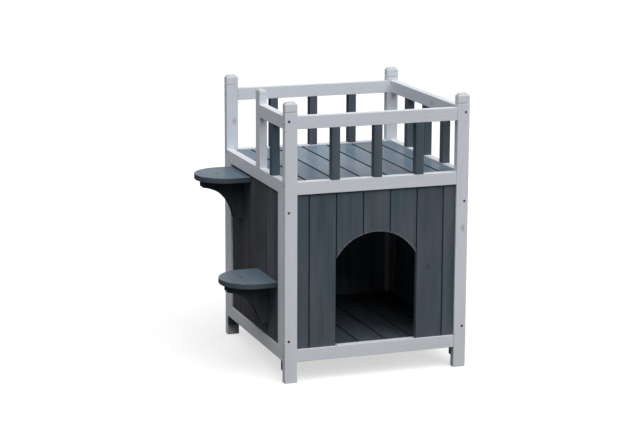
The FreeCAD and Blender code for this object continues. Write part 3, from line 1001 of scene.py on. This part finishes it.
left_run = run_of_boards([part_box(node) for node in LEFT_BOARDS], "Y", -AXES["X"], "Z")
for node, piece, tone in zip(LEFT_BOARDS, left_run, LEFT_TONES):
    piece.name = node + "_wood"
    drill(piece)
    give_grain(piece, "Z", tone)
    hand_over(piece, "board_left_Z", [node])
for node, (across, facing, along, finish, v_joint) in GROUPED_RUNS.items():
    boards = run_of_boards([part[:2] for part in loose_parts(node)], across, facing, along, v_joint)
    for piece in boards:
        give_grain(piece, along, RUN_TONES.get(node))
    hand_over(join(node + "_wood", boards), finish, [node])
    print(node, "has", len(boards), "boards")

# %% [markdown]
# ## The front and its doorway
# The doorway is as wide as three boards, with straight jambs under a flat arch. It is cut through the
# boards after they are laid side by side, as with a jigsaw along a drawn line, and a little sanding
# breaks the arch's edge. The arch's cutter is a cylinder with its lower part bisected away, because a
# whole cylinder would bulge into the jambs.

# %% The doorway
DOOR_TOP = 381 * MM
ARCH_RISE = 66 * MM
ARCH_SIDES = 160
ARCH_EASE = 0.9 * MM
FRONT_TONES = (0.45, 0.45, 0.5, 0.6, 0.7, 0.5, 0.6)
front_boxes = [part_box(node) for node in FRONT_BOARDS]
front_y, behind_y = front_boxes[0][0].y, front_boxes[0][1].y
jamb_x0 = front_boxes[1][1].x - TONGUE_LONG
jamb_x1 = front_boxes[5][0].x + TONGUE_LONG
door_middle, door_half = (jamb_x0 + jamb_x1) / 2, (jamb_x1 - jamb_x0) / 2
spring_z = DOOR_TOP - ARCH_RISE
arch_radius = (door_half ** 2 + ARCH_RISE ** 2) / (2 * ARCH_RISE)
arch_z = DOOR_TOP - arch_radius
MATERIALS["board_arch_Z"] = grey_stain("sawn_board_stain_z", "Z", WALL_STAIN, JOINT_DARK,
                                       torn_round=(door_middle, arch_z, arch_radius))


def arch_cutter():
    start = Vector((door_middle, front_y - V_JOINT, arch_z))
    end = Vector((door_middle, behind_y + V_JOINT, arch_z))
    made = rod("arch", start, end, arch_radius, ARCH_SIDES)
    edit(made)
    slice_at(Vector((0, 0, spring_z - NEAR)), AXES["Z"], use_fill=True, clear_inner=True)
    done()
    return made


def jamb_cutter():
    low = Vector((jamb_x0, front_y - V_JOINT, front_boxes[0][0].z - V_JOINT))
    return cube("jambs", low, Vector((jamb_x1, behind_y + V_JOINT, spring_z)))


def on_arch(vertex):
    from_axis = math.hypot(vertex.co.x - door_middle, vertex.co.z - arch_z)
    return abs(from_axis - arch_radius) < 2 * NEAR and vertex.co.y < front_y + V_JOINT + NEAR


front_run = run_of_boards(front_boxes, "X", -AXES["Y"], "Z")
for node, piece, tone in zip(FRONT_BOARDS, front_run, FRONT_TONES):
    piece.name = node + "_wood"
    lo, hi = box_of(piece)
    if hi.x > jamb_x0 and lo.x < jamb_x1:
        cut(piece, jamb_cutter())
        cut(piece, arch_cutter())
    finish = "board_Z"
    if lo.x > jamb_x0 and hi.x < jamb_x1:
        finish = "board_arch_Z"
        soften(piece, lambda edge: all(map(on_arch, edge.verts)), ARCH_EASE, 2)
    give_grain(piece, "Z", tone)
    hand_over(piece, finish, [node])
print("doorway", round(2 * door_half, 4), "m wide under an arch of radius", round(arch_radius, 4), "m")

# %% [markdown]
# ## Climbing steps and their brackets
# A step is a plank with a half-round nose. A cylinder bisected through its axis gives the nose, and the
# flat face that the bisect leaves is extruded to the wall. The bracket under it is sawn from a block
# along a hollow curve, so a cylinder is taken out of a cube, and then its edges are sanded.

# %% Steps and brackets
STEP_SIDES = 128
STEP_EASE = 2 * MM
NOSE_TALL = 20 * MM
FOOT_DEEP = 25 * MM
HOLLOW_RADIUS = 100 * MM
HOLLOW_SIDES = 128
BRACKET_EASE = 1.2 * MM
SHARP = math.radians(35)


def step_plank(lo, hi):
    radius = (hi.y - lo.y) / 2
    centre = Vector((lo.x + radius, (lo.y + hi.y) / 2, lo.z))
    made = rod("step_pattern", centre, centre + AXES["Z"] * (hi.z - lo.z), radius, STEP_SIDES)
    edit(made)
    slice_at(centre, AXES["X"], use_fill=True, clear_outer=True)
    pick(made, "FACE", lambda face: face.normal.x > ALIGNED)
    to_wall = Vector((hi.x - centre.x, 0, 0))
    bpy.ops.mesh.extrude_region_move(TRANSFORM_OT_translate={"value": to_wall})
    done()
    soften(made, lambda edge: abs(edge.verts[0].co.z - edge.verts[1].co.z) < NEAR
           and middle(edge).x < hi.x - NEAR and abs(edge.calc_face_angle(0)) > SHARP, STEP_EASE, 4)
    return made


def corbel(lo, hi):
    made = cube("bracket_pattern", lo, hi)
    nose = Vector((lo.x, 0, hi.z - NOSE_TALL))
    foot = Vector((hi.x - FOOT_DEEP, 0, lo.z))
    chord = foot - nose
    inward = Vector((-chord.z, 0, chord.x)).normalized()
    axis = (nose + foot) / 2 - inward * math.sqrt(HOLLOW_RADIUS ** 2 - chord.length_squared / 4)
    start = Vector((axis.x, lo.y - V_JOINT, axis.z))
    end = Vector((axis.x, hi.y + V_JOINT, axis.z))
    cut(made, rod("hollow", start, end, HOLLOW_RADIUS, HOLLOW_SIDES))
    soften(made, lambda edge: abs(edge.calc_face_angle(0)) > SHARP, BRACKET_EASE, 2)
    return made


# Painted light and shade in the tones: the upper bracket is made darker and the lower step lighter.
CLIMB = {"upper_step": (step_plank, "step_Y", 0.5), "upper_bracket": (corbel, "wall_Z", -0.3),
         "lower_step": (step_plank, "step_Y", 0.7), "lower_bracket": (corbel, "wall_Z", 0.1)}
for node, (make, finish, tone) in CLIMB.items():
    piece = from_pattern(node + "_wood", make.__name__, *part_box(node), make)
    drill(piece)
    give_grain(piece, finish[-1], tone)
    hand_over(piece, finish, [node])
    print(node, "has", len(piece.data.polygons), "faces")

# %% [markdown]
# ## Screws
# A screw is a flat cone of a head with a cross in it, on a plain shank. One is modelled standing up at
# the origin for each length, and its copies are turned to their seats. Threads are left out, because
# they are always inside the wood.

# %% Screws
CROSS_LONG = 3.6 * MM
CROSS_WIDE = 0.9 * MM
CROSS_DEEP = 1.2 * MM
SCREW_SIDES = 24
HEAD_EDGE = 0.25 * MM


def screw(length):
    """A screw that points down, with the middle of its head's top at the origin."""
    made = rod("screw", Vector((0, 0, -HEAD_TALL)), Vector(), HEAD_RADIUS, SCREW_SIDES)
    edit(made)
    pick(made, "VERT", lambda vertex: vertex.co.z < -HEAD_TALL / 2)
    shrink = SHANK_RADIUS / HEAD_RADIUS
    bpy.ops.transform.resize(value=(shrink, shrink, 1), center_override=(0, 0, -HEAD_TALL))
    pick(made, "FACE", lambda face: face.normal.z < -ALIGNED)
    down = Vector((0, 0, HEAD_TALL - length))
    bpy.ops.mesh.extrude_region_move(TRANSFORM_OT_translate={"value": down})
    done()
    soften(made, lambda edge: middle(edge).z > -NEAR, HEAD_EDGE, 2)
    for half in ((CROSS_LONG, CROSS_WIDE), (CROSS_WIDE, CROSS_LONG)):
        corner = Vector((half[0] / 2, half[1] / 2, CROSS_DEEP))
        cut(made, cube("cross", -corner, corner))
    return made


for node, seats in SEATS.items():
    pattern = screw(seats[0][2])
    copies = []
    for top, way, _ in seats:
        piece = copied(pattern, "screw", Vector())
        piece.matrix_world = Matrix.Translation(top) @ (-way).to_track_quat("Z", "Y").to_matrix().to_4x4()
        only(piece)
        bpy.ops.object.transform_apply()
        copies.append(piece)
    bpy.data.objects.remove(pattern)
    hand_over(join(node + "_metal", copies), "zinc", [node])
    print(node, "has", len(copies), "screws of", round(seats[0][2], 4), "m")

# %% [markdown]
# ## Nails
# Thin nails hold the deck boards to the battens, and only their heads show. A head is a short cylinder,
# a little proud of the wood, with a bevelled rim that catches the light as a hammered nail does.

# %% Nails
NAIL_RADIUS = 1.3 * MM
NAIL_TALL = 0.6 * MM
NAIL_PROUD = 0.12 * MM
NAIL_SIDES = 12
NAIL_FROM_EDGE = 18 * MM
NAIL_FROM_END = 10 * MM


def nail_head():
    """A nail's head at the origin, a little proud of the wood and round at its rim."""
    made = rod("nail", AXES["Z"] * -NAIL_TALL, AXES["Z"] * NAIL_PROUD, NAIL_RADIUS, NAIL_SIDES)
    soften(made, lambda edge: middle(edge).z > NAIL_PROUD - NEAR, NAIL_PROUD, 2)
    return made


nail_places = [Vector((x, y, hi.z)) for lo, hi, _ in loose_parts("deck_boards")
               for x in (lo.x + NAIL_FROM_EDGE, hi.x - NAIL_FROM_EDGE)
               for y in (lo.y + NAIL_FROM_END, hi.y - NAIL_FROM_END)]
pattern = nail_head()
hand_over(join("deck_nails", [copied(pattern, "nail", place) for place in nail_places]), "nail", [])
bpy.data.objects.remove(pattern)
print("deck nails:", len(nail_places))

# %% [markdown]
# ## Clearing the bench
# The patterns were only there to copy from, and would stand inside their first copies, so they go.

# %% Put the patterns away
for pattern, _ in PATTERNS.values():
    bpy.data.objects.remove(pattern)

# %% [markdown]
# ## A white studio
# The house stands in a studio with no visible walls, on one wide floor. The floor and the world are
# white to the camera and to reflections, but give back little light, which leaves the shaded sides as
# dark as a black-draped studio does. A backdrop of real white boards would light them too much.

# %% Floor and world
FLOOR_SIZE = 60.0
FLOOR_DROP = 0.3 * MM
FLOOR_SEEN = (0.50, 0.50, 0.50, 1)
FLOOR_BOUNCE = (0.12, 0.12, 0.12, 1)
FLOOR_LIFT = 0.6
SKY_SEEN = (1, 1, 1, 1)
SKY_TOP = (0.10, 0.10, 0.11, 1)
SKY_EDGE = (0.10, 0.10, 0.10, 1)
BLACK = (0, 0, 0, 1)


def seen_directly(start):
    """1 for camera rays, reflections and transmission, and 0 for light that bounces."""
    path = start.node("LightPath", output="Is Camera Ray")
    mirrored = path.math("MAXIMUM", path.other("Is Glossy Ray"), path.other("Is Transmission Ray"))
    return path.math("MAXIMUM", path, mirrored)


scene = bpy.context.scene
scene.view_settings.view_transform = "Standard"
scene.world = bpy.data.worlds.new("studio")
scene.world.use_nodes = True
start = Flow(scene.world.node_tree)
sky_light = place_of(start, "Generated")[2].ease(-0.1, 0.9).blend(SKY_EDGE, SKY_TOP)
seen_directly(start).blend(sky_light, SKY_SEEN).into(scene.world.node_tree.nodes["Background"], "Color")

put_down()
bpy.ops.mesh.primitive_plane_add(size=FLOOR_SIZE, location=(0, 0, -FLOOR_DROP))
floor = bpy.context.object
floor.name = "floor"
flat = {"Emission Strength": FLOOR_LIFT, "Roughness": 1.0, "Specular IOR Level": 0.0}
material, shader, start = new_material("white_floor", flat)
seen_directly(start).blend(FLOOR_BOUNCE, FLOOR_SEEN).into(shader, "Base Color")
seen_directly(start).blend(BLACK, SKY_SEEN).into(shader, "Emission Color")
floor.data.materials.append(material)
print("floor", FLOOR_SIZE, "m wide")

# %% [markdown]
# ## Soft lamps
# One soft lamp stands high in front, a weaker one on the left and a low one behind on the right. All are
# suns, with the soft shadow of a large cloth-covered lamp. Area lamps would do too, but their light
# fades with distance and leaves edges on the floor.

# %% Lamps
LAMP_FAR = 4.0
FRONT = {"towards": Vector((0.18, -0.57, 0.80)), "level": 0.87, "angle": math.radians(70)}
LEFT = {"towards": Vector((-0.57, -0.11, 0.81)), "level": 0.265, "angle": math.radians(50)}
BACK = {"towards": Vector((0.84, 0.52, 0.14)), "level": 0.36, "angle": math.radians(30)}


def sun(name, towards, level, angle):
    """A soft lamp that gives a white face turned to it this level of brightness."""
    put_down()
    bpy.ops.object.light_add(type="SUN", location=towards * LAMP_FAR)
    lamp = bpy.context.object
    lamp.name = name
    lamp.rotation_euler = towards.to_track_quat("Z", "Y").to_euler()
    lamp.data.energy = level * math.pi
    lamp.data.angle = angle
    return lamp


lamps = [sun("front_lamp", **FRONT), sun("left_lamp", **LEFT), sun("back_lamp", **BACK)]
print("lamps:", [lamp.name for lamp in lamps])

# %% [markdown]
# ## The camera
# The camera was found by matching the photograph's edges: a long lens, a little to the left and above,
# tilted down. A new camera looks straight down, so it is raised to the tilt and then turned to the side.

# %% Camera
LENS_MM = 112.98
SENSOR_MM = 36.0
CAMERA_AT = Vector((-1.7735, -4.9401, 1.5153))
YAW, PITCH, ROLL = (math.radians(angle) for angle in (-19.725, 12.178, 0.259))

tilt = Matrix.Rotation(math.pi / 2 - PITCH, 4, "X") @ Matrix.Rotation(ROLL, 4, "Z")
put_down()
bpy.ops.object.camera_add()
camera = bpy.context.object
camera.name = "camera"
camera.matrix_world = Matrix.Translation(CAMERA_AT) @ Matrix.Rotation(YAW, 4, "Z") @ tilt
camera.data.lens = LENS_MM
camera.data.sensor_width = SENSOR_MM
camera.data.clip_end = FLOOR_SIZE * 2
scene.camera = camera
